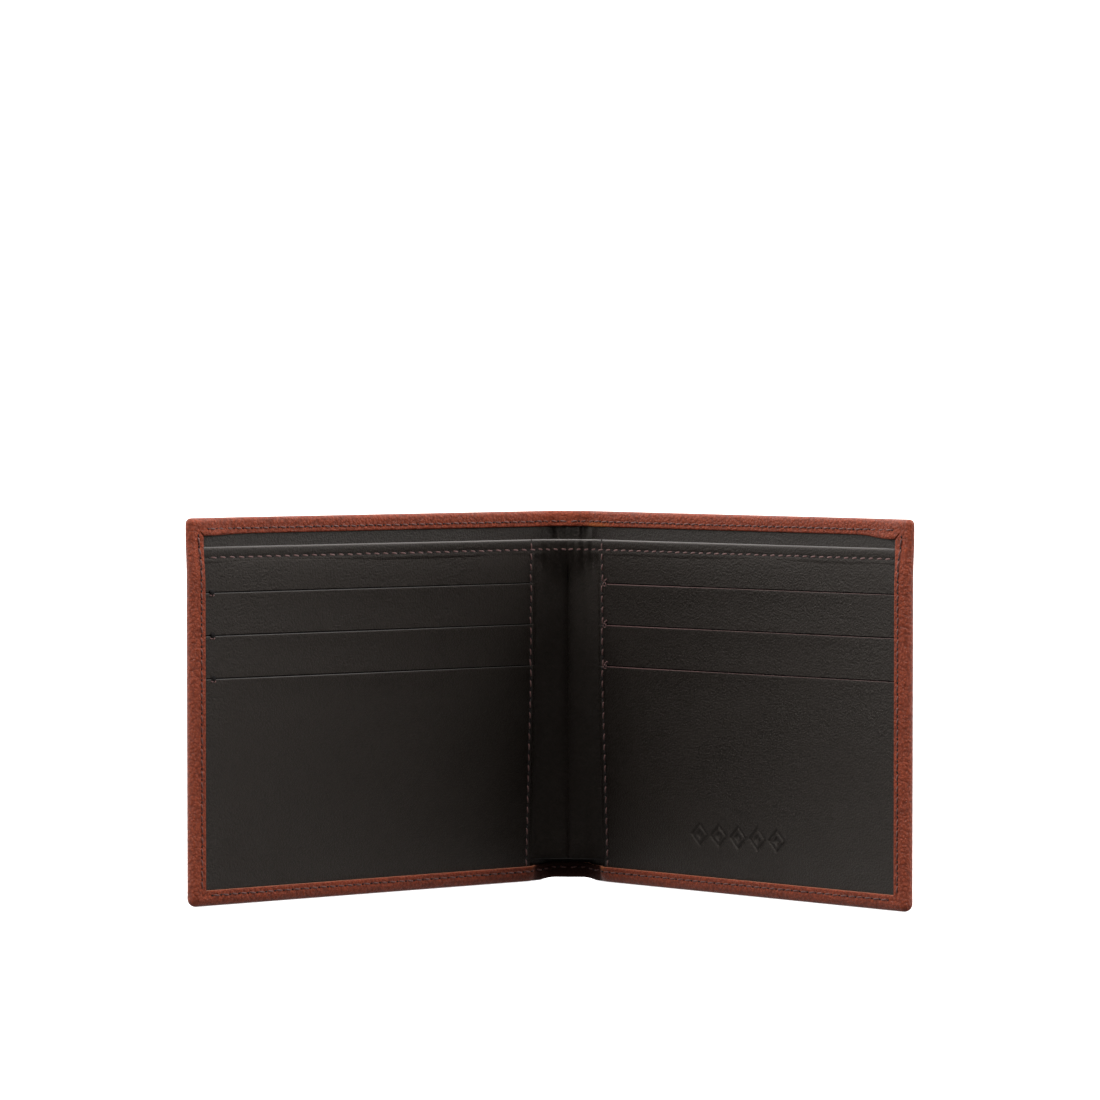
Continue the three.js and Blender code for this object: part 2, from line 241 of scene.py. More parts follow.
def cover_place(side):
    waves = Vector((0, 0, wave_seed[side]))
    web = corner_web[side]

    def place(x, z):
        over = max(x - face_x, 0)
        under, above = max(face_low - z, 0), max(z - face_high, 0)
        beyond = under or above
        held_x, held_z = min(x, face_x), min(max(z, face_low), face_high)
        rim = side_roll(stretch(held_z, face_low, face_high, 0, height))
        end = bottom_roll(held_x) if z < height / 2 else top_roll(held_x)
        low_edge = cover_skin / 2 + bottom_roll(held_x)
        high_edge = height - cover_skin / 2 - top_roll(held_x)
        x1 = stretch(held_x, 0, face_x, 0, outer_x - cover_skin / 2 - rim)
        z1 = stretch(held_z, face_low, face_high, low_edge, high_edge)
        inwards = 0
        outwards_z = -1 if under else 1
        if over and beyond:
            most, least = max(over, beyond), min(over, beyond)
            swing = math.pi / 4 * least / most
            swing = swing if over >= beyond else math.pi / 2 - swing
            out, inwards = round_the_edge(most, rim)
            x1 += out * math.cos(swing)
            z1 += outwards_z * out * math.sin(swing)
        elif over:
            out, inwards = round_the_edge(over, rim, web * smooth(height - 11 * mm, height - 5 * mm, z1))
            x1 += out
            if out < 0:
                z1 = stretch(z1, low_edge, high_edge, low_edge - out, high_edge + out)
        elif beyond:
            near_corner = smooth(outer_x - 14 * mm, outer_x - 5 * mm, x1) if above else 0
            out, inwards = round_the_edge(beyond, end, web * near_corner)
            z1 += outwards_z * out
            if out < 0:
                x1 *= (face_x + out) / face_x
        else:
            for gap in (outer_x - x1, z1, height - z1):
                inwards += 0.1 * mm * hump(gap, seam_inset, groove_width)
            inwards += 0.1 * mm * noise.noise(Vector((x1, 0, z1)) * 45 + waves)
        return fold_up(x1, inwards, raised(x1, z1))

    return place


def leather_material(name, light, dark, shine, polish, grain, depth, gloss, spots):
    """Pebbled leather: rounded grains with creases between them, painted darker in the creases as their
    shade, on skin that varies in tone and gloss.
    """
    material = bpy.data.materials.new(name)
    material.use_nodes = True
    nodes, links = material.node_tree.nodes, material.node_tree.links
    shader = nodes["Principled BSDF"]
    where = nodes.new("ShaderNodeTexCoord")
    wobble = nodes.new("ShaderNodeTexNoise")
    wobble.inputs["Scale"].default_value = 0.6 / grain
    wobble.inputs["Detail"].default_value = 2
    shift = nodes.new("ShaderNodeVectorMath")
    shift.operation = "MULTIPLY_ADD"
    shift.inputs[1].default_value = (grain * 0.9,) * 3
    pebbles = nodes.new("ShaderNodeTexVoronoi")
    pebbles.feature = "SMOOTH_F1"
    pebbles.inputs["Scale"].default_value = 1 / grain
    pebbles.inputs["Smoothness"].default_value = 0.35
    pores = nodes.new("ShaderNodeTexNoise")
    pores.inputs["Scale"].default_value = 4.5 / grain
    pores.inputs["Detail"].default_value = 3
    relief = nodes.new("ShaderNodeMath")
    relief.operation = "MULTIPLY_ADD"
    relief.inputs[1].default_value = -1.0
    bump = nodes.new("ShaderNodeBump")
    bump.inputs["Distance"].default_value = depth
    bump.inputs["Strength"].default_value = 0.9
    patches = nodes.new("ShaderNodeTexNoise")
    patches.inputs["Scale"].default_value = spots
    patches.inputs["Detail"].default_value = 4
    tone = nodes.new("ShaderNodeMix")
    tone.data_type = "RGBA"
    tone.inputs[6].default_value = (*dark, 1)
    tone.inputs[7].default_value = (*light, 1)
    gloss_range = nodes.new("ShaderNodeMapRange")
    gloss_range.inputs["From Min"].default_value = 0.3
    gloss_range.inputs["From Max"].default_value = 0.7
    gloss_range.inputs["To Min"].default_value = gloss - 0.07
    gloss_range.inputs["To Max"].default_value = gloss + 0.1
    mixed = nodes.new("ShaderNodeMath")
    mixed.operation = "MULTIPLY_ADD"
    mixed.inputs[1].default_value = 0.55
    # Painted shade: the creases between the grains are painted darker and the grains' tops lighter.
    creases = nodes.new("ShaderNodeMapRange")
    creases.inputs["From Min"].default_value = 0.2
    creases.inputs["From Max"].default_value = 0.75
    creases.inputs["To Min"].default_value = 0.7
    creases.inputs["To Max"].default_value = 0.0
    links.new(where.outputs["Object"], wobble.inputs["Vector"])
    links.new(wobble.outputs["Color"], shift.inputs[0])
    links.new(where.outputs["Object"], shift.inputs[2])
    links.new(shift.outputs[0], pebbles.inputs["Vector"])
    links.new(where.outputs["Object"], pores.inputs["Vector"])
    links.new(where.outputs["Object"], patches.inputs["Vector"])
    links.new(pebbles.outputs["Distance"], relief.inputs[0])
    links.new(pores.outputs["Fac"], relief.inputs[2])
    links.new(relief.outputs[0], bump.inputs["Height"])
    links.new(bump.outputs["Normal"], shader.inputs["Normal"])
    links.new(pebbles.outputs["Distance"], creases.inputs["Value"])
    links.new(patches.outputs["Fac"], mixed.inputs[0])
    links.new(creases.outputs["Result"], mixed.inputs[2])
    links.new(mixed.outputs[0], tone.inputs[0])
    links.new(tone.outputs[2], shader.inputs["Base Color"])
    links.new(patches.outputs["Fac"], gloss_range.inputs["Value"])
    links.new(gloss_range.outputs["Result"], shader.inputs["Roughness"])
    shader.inputs["Specular IOR Level"].default_value = polish
    shader.inputs["Specular Tint"].default_value = (*shine, 1)
    return material


def plain_material(name, color, roughness, fuzz, sheen=0.0):
    """A matt finish with a fine mottled surface."""
    material = bpy.data.materials.new(name)
    material.use_nodes = True
    nodes, links = material.node_tree.nodes, material.node_tree.links
    shader = nodes["Principled BSDF"]
    where = nodes.new("ShaderNodeTexCoord")
    fibres = nodes.new("ShaderNodeTexNoise")
    fibres.inputs["Scale"].default_value = 1 / fuzz
    fibres.inputs["Detail"].default_value = 4
    bump = nodes.new("ShaderNodeBump")
    bump.inputs["Distance"].default_value = fuzz * 0.2
    tone = nodes.new("ShaderNodeMix")
    tone.data_type = "RGBA"
    tone.inputs[6].default_value = (*[c * 0.6 for c in color], 1)
    tone.inputs[7].default_value = (*[c * 1.4 for c in color], 1)
    links.new(where.outputs["Object"], fibres.inputs["Vector"])
    links.new(fibres.outputs["Fac"], bump.inputs["Height"])
    links.new(fibres.outputs["Fac"], tone.inputs[0])
    links.new(tone.outputs[2], shader.inputs["Base Color"])
    links.new(bump.outputs["Normal"], shader.inputs["Normal"])
    shader.inputs["Roughness"].default_value = roughness
    shader.inputs["Sheen Weight"].default_value = sheen
    return material


brown_leather = leather_material(
    "brown leather",
    light=(0.27, 0.049, 0.0198),
    dark=(0.112, 0.018, 0.0073),
    shine=(1, 0.83, 0.75),
    polish=0.24,
    grain=0.72 * mm,
    depth=0.27 * mm,
    gloss=0.36,
    spots=90,
)
cut_edge = plain_material("cut edge of the brown leather", (0.2, 0.07, 0.035), 0.75, 0.2 * mm)


def tint_where(material, attribute, color, dull=0.0):
    """Lets an attribute of the piece turn the leather towards another colour, and make it less glossy."""
    nodes, links = material.node_tree.nodes, material.node_tree.links
    skin_color = nodes["Principled BSDF"].inputs["Base Color"]
    amount = nodes.new("ShaderNodeAttribute")
    amount.attribute_name = attribute
    blotch = nodes.new("ShaderNodeMix")
    blotch.data_type = "RGBA"
    blotch.inputs[7].default_value = (*color, 1)
    links.new(amount.outputs["Fac"], blotch.inputs[0])
    links.new(skin_color.links[0].from_socket, blotch.inputs[6])
    links.new(blotch.outputs[2], skin_color)
    if dull:
        roughness = nodes["Principled BSDF"].inputs["Roughness"]
        duller = nodes.new("ShaderNodeMath")
        duller.operation = "MULTIPLY_ADD"
        duller.inputs[1].default_value = dull
        links.new(amount.outputs["Fac"], duller.inputs[0])
        links.new(roughness.links[0].from_socket, duller.inputs[2])
        links.new(duller.outputs[0], roughness)


tint_where(brown_leather, "bare", (0.42, 0.13, 0.035))
# Painted shade: the bottom hem is darkened and dulled across the spine, where it lies in the fold's shadow.
tint_where(brown_leather, "dyed", (0.014, 0.002, 0.001), 0.5)


def mark_tints(piece, side):
    """The hems' turned edges are worn bare beside the spine, and the bottom hem is painted dark across it as
    the shade in the fold.
    """
    places = [tuple(spot.vector) for spot in piece.data.attributes["hide"].data]
    bare = piece.data.attributes.new("bare", "FLOAT", "POINT").data
    dyed = piece.data.attributes.new("dyed", "FLOAT", "POINT").data
    for i, (x, _, z) in enumerate(places):
        above, below = z - face_high - roll_run, face_low - z - roll_run
        if side == "right":
            beside = smooth(4 * mm, 7 * mm, x) * smooth(15 * mm, 11 * mm, x)
            bare[i].value = 0.6 * beside * smooth(0.8 * mm, flap_run, above)
        step = hump(x, pocket_x - 0.8 * mm, 1.1 * mm)
        bare[i].value += (0.8 if side == "right" else 0.4) * step * smooth(0.2 * mm, flap_run, below)
        # The hem's painted shade: darker towards the spine, darkest across it.
        spine_shade_amount = (0.12 if side == "right" else 0.4) * smooth(pocket_x + 26 * mm, pocket_x, x)
        spine_shade_amount = max(spine_shade_amount, 0.95 * smooth(pocket_x + 0.4 * mm, pocket_x - 3 * mm, x))
        dyed[i].value = spine_shade_amount * smooth(-3.5 * mm, -1.5 * mm, below)


def off_the_corner(x, z):
    over, beyond = x - face_x, max(face_low - z, z - face_high)
    return min(over, beyond) > 0 and max(over, beyond) > roll_run


hem_runs = [roll_run + flap_run * share for share in (0.2, 0.38, 0.5, 0.62, 0.8, 1.0)]
edge_runs = [roll_run * i / 7 for i in range(1, 8)] + hem_runs
seam_steps = [1.15 * mm, 0.85 * mm, 0.55 * mm, 0.25 * mm]
cover_across = (
    spread(0, 13.2 * mm, 1.2 * mm)
    + spread(15 * mm, face_x - 3 * mm, 3.6 * mm)
    + [face_x - step for step in seam_steps]
    + [face_x]
    + [face_x + run for run in edge_runs]
)
cover_up = (
    [face_low - run for run in reversed(edge_runs)]
    + [face_low]
    + [face_low + step for step in reversed(seam_steps)]
    + spread(face_low + 3 * mm, face_high - 4 * mm, 3.6 * mm)
    + [face_high - step for step in (2.3 * mm, 2 * mm, 1.7 * mm, 1.4 * mm)]
    + [face_high]
    + [face_high + run for run in edge_runs]
)
for side in sides:
    cover = cut_blank(side + "_cover_leather", cover_across, cover_up)
    trim(cover, off_the_corner)
    form(cover, cover_place(side))
    mark_tints(cover, side)
    weld(cover)
    cover.data.materials.append(brown_leather)
    cover.data.materials.append(cut_edge)
    finish_modifier(cover, "SOLIDIFY", thickness=cover_skin, offset=0, material_offset_rim=1)
    meet_in_the_middle(cover)
    finish_modifier(cover, "SUBSURF", levels=1, render_levels=1)
    mirror_left(cover, side)
    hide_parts(side + "_cover", *(["spine_cover"] if side == "right" else []))
    bend_with(cover, crease_start, crease_end)

# ---- The stiffeners ----
# A board in each wing, between the cover and its lining, keeps the wallet flat. It is sewn in and never seen.
stiffener_board = plain_material("stiffener board", (0.34, 0.24, 0.14), 0.95, 0.6 * mm)
for side in sides:
    board = frame["nodes"][side + "_stiffener"]
    board.data.materials.clear()
    board.data.materials.append(stiffener_board)

# ---- The cover lining ----
# Thin dark leather glued inside the cover, from hem to hem. Above the note pocket it shows as a strip under
# the top hem, with small creases where it crosses the spine.
lining_leather = leather_material(
    "lining leather",
    light=(0.02, 0.0165, 0.014),
    dark=(0.007, 0.0055, 0.0045),
    shine=(1, 0.93, 0.87),
    polish=0.33,
    grain=0.5 * mm,
    depth=0.1 * mm,
    gloss=0.37,
    spots=60,
)
lining_margin = 1.3 * mm
lining_skin = 0.2 * mm
(_, lining_back, _), _ = laid_flat("right_cover_lining")
lining_middle = lining_back + lining_skin / 2
lining_across = (
    spread(0, 7 * mm, 0.2 * mm)
    + spread(7.5 * mm, 13 * mm, 0.5 * mm)
    + spread(15 * mm, outer_x - lining_margin, 5 * mm)
)
lining_up = (
    spread(lining_margin, height - 14 * mm, 6 * mm)
    + spread(height - 12 * mm, height - lining_margin, 1.5 * mm)
)


def crease_lines(x, strength):
    """Short upright creases where leather is squeezed across the spine."""
    ridges = 0.6 * math.sin(x / (0.62 * mm)) + 0.4 * math.sin(x / (0.29 * mm) + 1)
    for middle, tall in ((-2.9 * mm, 2.2), (2.7 * mm, 2.6), (-0.4 * mm, 1)):
        ridges += tall * hump(x, middle, 0.38 * mm)
    return strength * ridges * hump(x, 0, 4.6 * mm)


for side in sides:
    lining = cut_blank(side + "_cover_lining_leather", lining_across, lining_up)

    def lining_place(x, z):
        signed = x * sides[side]
        inwards = lining_middle + crease_lines(signed, 0.16 * mm) * smooth(0.3 * height, height, z)
        return fold_up(x, inwards, z)

    form(lining, lining_place)
    lining.data.materials.append(lining_leather)
    finish_modifier(lining, "SOLIDIFY", thickness=lining_skin, offset=0)
    meet_in_the_middle(lining)
    mirror_left(lining, side)
    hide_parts(side + "_cover_lining", *(["spine_lining"] if side == "right" else []))
    bend_with(lining, crease_start, crease_end)

# ---- The note-pocket divider and its gusset ----
# One sheet of fine dark leather across both wings. Its top edge is folded to the back and sewn. Between the
# card pockets it hangs free as the gusset, a valley that takes up the slack when the wallet opens and shuts.
dark_leather = leather_material(
    "dark leather",
    light=(0.0085, 0.006, 0.0046),
    dark=(0.003, 0.0021, 0.0016),
    shine=(1, 0.9, 0.82),
    polish=0.3,
    grain=0.5 * mm,
    depth=0.09 * mm,
    gloss=0.39,
    spots=60,
)
# Painted highlight: a paler band along the crown of the divider's folded top edge, where it catches the
# light.
tint_where(dark_leather, "rubbed", (0.17, 0.16, 0.155))
(_, divider_back, divider_bottom), (_, divider_front, divider_top) = laid_flat("right_divider")
pocket_skin = 0.3 * mm
divider_skin = 0.34 * mm
divider_middle = divider_back + divider_skin / 2 + 0.03 * mm
note_gape = divider_front - divider_back - 0.35 * mm
rim_x = outer_x - hem_width
gusset_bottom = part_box("gusset")[0].z
gusset_join_x = pocket_x - 0.3 * mm  # the gusset runs on behind the card pockets from here
gusset_run = 11 * mm  # how much of the sheet lies between the spine's middle and the join
valley_slope = 0.62  # radians, between the spine and the gusset where it leaves the valley
end_gap = 1.2 * mm  # how far inside the cover's outer edge the divider and the card pockets end
edge_roll = 0.3 * mm
divider_roll_run, divider_flap_run = 1.6 * mm, 4 * mm


def gape(x, z):
    """How far the divider and its card pockets stand off the lining."""
    across = min(max((rim_x - x) / (rim_x - pocket_x), 0), 1)
    up = min(max((z - hem_width) / (divider_top - hem_width), 0), 1)
    return note_gape * across * up


def valley(z):
    """How far in front of the creases the gusset's valley lies."""
    return 3.9 * mm + 2.3 * mm * smooth(0.86 * divider_top, divider_top, z) + 0.7 * mm * smooth(20 * mm, 0, z)


def gusset_line(share, z):
    """A curve from the valley to the join, at one height, as a point and the way inwards from it."""
    foot = Vector((0, crease_y - valley(z), 0))
    join = fold_up(gusset_join_x, divider_inwards(gusset_join_x, z), 0)
    outwards = Vector((math.cos(fold), -math.sin(fold), 0))
    rise = Vector((math.cos(valley_slope), -math.sin(valley_slope), 0))
    near, far = foot + rise * 3.4 * mm, join - outwards * 3.6 * mm
    a = 1 - share
    point = foot * a**3 + near * 3 * a * a * share + far * 3 * a * share**2 + join * share**3
    along = (near - foot) * a * a + (far - near) * 2 * a * share + (join - far) * share**2
    along.normalize()
    return point, Vector((along.y, -along.x, 0))


def divider_inwards(x, z):
    top_fold = 0.32 * mm * smooth(divider_top - 5.5 * mm, divider_top - 3.5 * mm, z)
    seam = 0.12 * mm * hump(z, divider_seam_z, groove_width)
    return divider_middle + top_fold - seam + gape(x, z)


def divider_point(run, z, out=0.0):
    """A point of the divider's middle layer, run along it from the spine's middle, or that far in front."""
    if run >= gusset_run:
        x = gusset_join_x + run - gusset_run
        return fold_up(x, divider_inwards(x, z) + out, z)
    point, inwards = gusset_line(run / gusset_run, z)
    folds = 0.16 * mm * noise.noise(Vector((run * 420, 0, z * 30)))
    pucker = 0.2 * mm * math.sin(run / (0.5 * mm)) * smooth(divider_top - 10 * mm, divider_top - 4 * mm, z)
    still = smooth(gusset_run, gusset_run - 3 * mm, run)
    point = point + inwards * (out + (folds + pucker) * still)
    return Vector((point.x, point.y, z))


divider_seam_z = sum(corner.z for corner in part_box("gusset_thread")) / 2
gusset_end_x = fold_up(pocket_x, divider_front, 0).x
gusset_start, gusset_end = (0, crease_y - valley(0)), (gusset_end_x, crease_y - valley(0))
divider_length = gusset_run + outer_x - end_gap - gusset_join_x
top_start = divider_top - edge_roll - divider_skin / 2
divider_across = spread(0, gusset_run, 0.5 * mm) + spread(gusset_run + 1.5 * mm, divider_length, 4 * mm)
divider_up = (
    spread(divider_bottom, gusset_bottom, 2.4 * mm)
    + spread(gusset_bottom + 2 * mm, divider_seam_z - 4 * mm, 3 * mm)
    + [divider_seam_z + step * mm for step in (-2.4, -1.2, -0.7, -0.35, 0, 0.35, 0.7, 1.2)]
    + [top_start]
    + [top_start + divider_roll_run * i / 6 for i in range(1, 7)]
    + [top_start + divider_roll_run + divider_flap_run * i / 3 for i in range(1, 4)]
)


def under_the_gusset(run, z):
    return run < gusset_run + 1 * mm and z < gusset_bottom


def divider_place(run, z):
    """A point of the divider with its top edge folded over to the back."""
    if z <= top_start:
        return divider_point(run, z)
    angle = math.pi * min((z - top_start) / divider_roll_run, 1)
    down = max(z - top_start - divider_roll_run, 0) * 0.8
    back = -edge_roll * (1 - math.cos(angle))
    return divider_point(run, top_start + edge_roll * math.sin(angle) - down, back)


for side in sides:
    divider = cut_blank(side + "_divider_leather", divider_across, divider_up)
    trim(divider, under_the_gusset)
    form(divider, divider_place)
    heights = [spot.vector.z for spot in divider.data.attributes["hide"].data]
    # The paler band painted as a highlight along the crown of the top fold.
    rubbed = divider.data.attributes.new("rubbed", "FLOAT", "POINT").data
    for i, z in enumerate(heights):
        rubbed[i].value = 0.8 * hump(z, top_start + 0.4 * divider_roll_run, 0.42 * mm)
    divider.data.materials.append(dark_leather)
    finish_modifier(divider, "SOLIDIFY", thickness=divider_skin, offset=0)
    meet_in_the_middle(divider)
    finish_modifier(divider, "SUBSURF", levels=1, render_levels=1)
    mirror_left(divider, side)
    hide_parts(side + "_divider", *(["gusset"] if side == "right" else []))
    bend_with(divider, gusset_start, gusset_end)

# ---- The pocket cloth ----
# Dark woven cloth backs the divider inside the note pocket, and makes the long tails behind the upper and
# middle card pockets, where it saves the thickness of leather.
pocket_cloth = bpy.data.materials.new("pocket cloth")
pocket_cloth.use_nodes = True
cloth_nodes, cloth_links = pocket_cloth.node_tree.nodes, pocket_cloth.node_tree.links
cloth_shader = cloth_nodes["Principled BSDF"]
cloth_shader.inputs["Roughness"].default_value = 0.85
cloth_shader.inputs["Sheen Weight"].default_value = 0.25
thread_pitch = 0.35 * mm
on_hide = cloth_nodes.new("ShaderNodeAttribute")
on_hide.attribute_name = "hide"
weave = []
for direction in ("X", "Z"):
    yarns = cloth_nodes.new("ShaderNodeTexWave")
    yarns.bands_direction = direction
    yarns.inputs["Scale"].default_value = 0.314 / thread_pitch  # its bands then lie one pitch apart
    yarns.inputs["Distortion"].default_value = 0.6
    cloth_links.new(on_hide.outputs["Vector"], yarns.inputs["Vector"])
    weave.append(yarns)
crossing = cloth_nodes.new("ShaderNodeMath")
crossing.operation = "MULTIPLY"
cloth_bump = cloth_nodes.new("ShaderNodeBump")
cloth_bump.inputs["Distance"].default_value = 0.05 * mm
cloth_tone = cloth_nodes.new("ShaderNodeMix")
cloth_tone.data_type = "RGBA"
cloth_tone.inputs[6].default_value = (0.006, 0.005, 0.005, 1)
cloth_tone.inputs[7].default_value = (0.022, 0.018, 0.016, 1)
cloth_links.new(weave[0].outputs["Fac"], crossing.inputs[0])
cloth_links.new(weave[1].outputs["Fac"], crossing.inputs[1])
cloth_links.new(crossing.outputs[0], cloth_bump.inputs["Height"])
cloth_links.new(crossing.outputs[0], cloth_tone.inputs[0])
cloth_links.new(cloth_tone.outputs[2], cloth_shader.inputs["Base Color"])
cloth_links.new(cloth_bump.outputs["Normal"], cloth_shader.inputs["Normal"])
cloth_skin = 0.08 * mm


def finish_cloth(piece, side, nodes):
    piece.data.materials.append(pocket_cloth)
    finish_modifier(piece, "SOLIDIFY", thickness=cloth_skin, offset=0)
    mirror_left(piece, side)
    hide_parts(*nodes)


backing_gap = (divider_skin + cloth_skin) / 2 + 0.02 * mm
backing_across = spread(0, gusset_run, 1 * mm) + spread(gusset_run + 2 * mm, divider_length, 5 * mm)
backing_up = (
    spread(divider_bottom, gusset_bottom + 0.6 * mm, 2.6 * mm)
    + spread(gusset_bottom + 4 * mm, divider_top - 4.2 * mm, 5 * mm)
)
for side in sides:
    backing = cut_blank(side + "_divider_cloth", backing_across, backing_up)
    trim(backing, under_the_gusset)
    form(backing, lambda run, z: divider_point(run, z, -backing_gap))
    replaced = [side + "_divider_lining"] + (["gusset_lining"] if side == "right" else [])
    finish_cloth(backing, side, replaced)
    bend_with(backing, gusset_start, gusset_end)

tail_lift = {"upper": 0.3 * mm, "middle": 0.5 * mm}
for side in sides:
    for pocket, lift in tail_lift.items():
        (low_x, low_inwards, low_z), (high_x, _, high_z) = laid_flat(f"right_{pocket}_pocket_lining")
        tail_across, tail_up = spread(low_x, high_x, 5 * mm), spread(low_z, high_z, 5 * mm)
        tail = cut_blank(f"{side}_{pocket}_pocket_cloth", tail_across, tail_up)
        depth = low_inwards + cloth_skin / 2 + lift
        form(tail, lambda x, z: fold_up(x, depth + gape(x, z), z))
        finish_cloth(tail, side, [f"{side}_{pocket}_pocket_lining"])
        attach(tail, side + "_wing")

# ---- The card pockets ----
# Each wing has a facing under the divider's top seam and three stepped pockets below it, in dark leather. The
# mouths are cut edges, pared to a slant at the front, with a band behind each painted black as the shadow in
# the slit. The right wing's lower pocket carries a pressed row of lozenges.
mouth_edge = {
    "left": plain_material("blackened pocket mouth", (0.032, 0.029, 0.027), 0.4, 0.2 * mm),
    "right": plain_material("bare pocket mouth", (0.06, 0.024, 0.022), 0.6, 0.2 * mm),
}
mouths = {p: laid_flat(f"right_{p}_card_pocket")[1][2] for p in ("upper", "middle", "lower")}
lap = mouths["middle"] - laid_flat("right_upper_card_pocket")[0][2]
facing_top = divider_seam_z - 0.75 * mm
layers = [
    ("facing", facing_top, mouths["upper"] - lap),
    ("upper", mouths["upper"], mouths["middle"] - lap),
    ("middle", mouths["middle"], mouths["lower"] - lap),
    ("lower", mouths["lower"], divider_bottom),
]
layer_step = 0.33 * mm
pocket_seam_x = pocket_x + 1.1 * mm
# Painted shadow: near-black with little gloss, for the shade in the gap behind each pocket mouth.
slit_shadow_paint = plain_material("inked slit", (0.0015, 0.001, 0.001), 0.95, 0.2 * mm)
slit_shadow_paint.node_tree.nodes["Principled BSDF"].inputs["Specular IOR Level"].default_value = 0.05
slit_margin = 0.26 * mm
lozenge_middle = (pocket_x + 0.475 * (rim_x - pocket_x), 14.2 * mm)
lozenge_pitch, lozenge_half_height, lozenge_count = 6.6 * mm, 3.1 * mm, 5
row_half = lozenge_pitch * lozenge_count / 2 + 0.3 * mm
band_half = lozenge_half_height + 0.3 * mm


def pare(x, side):
    """How far the front of a mouth slants down: most by the rim on the left, by the spine on the right."""
    if side == "left":
        return 0.05 * mm + 0.12 * mm * smooth(pocket_x + 6 * mm, pocket_x + 60 * mm, x)
    return 0.17 * mm - 0.11 * mm * smooth(pocket_x + 10 * mm, pocket_x + 50 * mm, x)


def layer_inwards(index):
    return divider_middle + (divider_skin + pocket_skin) / 2 + 0.03 * mm + index * layer_step


def pressed(x, z):
    """The depth of the row of lozenges: a sunk outline with a smaller sunk lozenge inside each."""
    along = (x - lozenge_middle[0]) / lozenge_pitch + lozenge_count / 2
    if not 0 < along < lozenge_count:
        return 0
    across = abs(along % 1 - 0.5) * 2.1 + abs(z - lozenge_middle[1]) / lozenge_half_height
    outline = smooth(0.14, 0.04, abs(across - 0.82))
    core = smooth(0.4, 0.28, across)
    return 0.27 * mm * max(outline, core)


def pocket_inwards(index, x, z, side):
    fold_ridge = 0.13 * mm * hump(x, pocket_x + 0.45 * mm, 0.35 * mm)
    seam = 0.12 * mm * hump(x, pocket_seam_x, 0.3 * mm)
    swell = 0.22 * mm * noise.noise(Vector((x * 28, 3.0 * index + (7 if side == "left" else 0), z * 28)))
    swell *= smooth(pocket_x, pocket_x + 12 * mm, x) * smooth(rim_x, rim_x - 12 * mm, x)
    mouth = layers[index][1]
    bow = math.sin(math.pi * min(max((x - pocket_seam_x) / (rim_x - pocket_seam_x), 0), 1)) ** 0.6
    if index:
        lip = 0.2 * mm * bow * smooth(mouth - 4 * mm, mouth, z)
    else:
        lip = -0.1 * mm * smooth(mouth - 2 * mm, mouth, z)
    return layer_inwards(index) + gape(x, z) + fold_ridge - seam + max(swell, -0.05 * mm) + lip


pocket_end_x = outer_x - end_gap
fine_x = spread(lozenge_middle[0] - row_half, lozenge_middle[0] + row_half, 0.3 * mm)
fine_z = spread(lozenge_middle[1] - band_half, lozenge_middle[1] + band_half, 0.3 * mm)
by_the_seam = [pocket_x + step * mm for step in (0, 0.22, 0.45, 0.7, 0.9, 1.1, 1.3, 1.55, 2.2, 3.5)]
plain_across = by_the_seam + spread(pocket_x + 6 * mm, pocket_end_x, 3.6 * mm)
motif_across = (
    by_the_seam
    + spread(pocket_x + 6 * mm, fine_x[0] - 2 * mm, 3.6 * mm)
    + fine_x
    + spread(fine_x[-1] + 2 * mm, pocket_end_x, 3.6 * mm)
)


def pocket_up(top, bottom, slit, motif):
    """The heights where a pocket's blank is marked out: closer at its mouth, its slit and its lozenges."""
    below_mouth = top - 1.2 * mm
    if motif:
        heights = spread(bottom, fine_z[0] - 1 * mm, 3 * mm) + fine_z
        heights += spread(fine_z[-1] + 2 * mm, below_mouth, 3 * mm)
    elif slit:
        heights = spread(bottom, slit - 0.6 * mm, 3 * mm) + [slit - slit_margin, slit + slit_margin]
        heights += spread(slit + 1 * mm, below_mouth, 3 * mm)
    else:
        heights = spread(bottom, below_mouth, 3 * mm)
    return heights + [top - 0.5 * mm, top]


def color_edges(piece, index, slit):
    """Keeps the cut-edge finish on the mouth alone, and paints shadow black on the band behind the next
    pocket's mouth.
    """
    for face in piece.data.polygons:
        open_there = pocket_seam_x < face.center.x < rim_x - 2.4 * mm
        if not (face.normal.z > 0.5 and index and open_there):
            face.material_index = 0
        if slit and abs(face.center.z - slit) < slit_margin and face.normal.y < -0.5 and open_there:
            face.material_index = 2


def shape_front(piece, index, side, top, motif):
    """Pares the front of the mouth and presses the lozenges into the front of the piece."""
    hide = piece.data.attributes["hide"].data
    for vertex in piece.data.vertices:
        x, _, z = hide[vertex.index].vector
        in_front = -vertex.co.y > pocket_inwards(index, x, z, side)
        if in_front and z > top - 0.01 * mm:
            vertex.co.z -= pare(x, side)
        if in_front and motif:
            vertex.co.y += pressed(x, z)


for side in sides:
    for index, (name, top, bottom) in enumerate(layers):
        motif = name == "lower" and side == "right"
        slit = layers[index + 1][1] if name != "lower" else None
        across = motif_across if motif else plain_across
        piece = cut_blank(f"{side}_{name}_pocket_leather", across, pocket_up(top, bottom, slit, motif))
        form(piece, lambda x, z: Vector((x, -pocket_inwards(index, x, z, side), z)))
        piece.data.materials.append(dark_leather)
        piece.data.materials.append(mouth_edge[side])
        piece.data.materials.append(slit_shadow_paint)
        finish_modifier(piece, "SOLIDIFY", thickness=pocket_skin, offset=0, material_offset_rim=1)
        color_edges(piece, index, slit)
        shape_front(piece, index, side, top, motif)
        for vertex in piece.data.vertices:
            vertex.co = fold_up(vertex.co.x, -vertex.co.y, vertex.co.z)
        finish_modifier(piece, "BEVEL", width=0.07 * mm, segments=2, limit_method="ANGLE", angle_limit=0.6)
        mirror_left(piece, side)
        if index:
            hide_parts(f"{side}_{name}_card_pocket")
        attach(piece, side + "_wing")
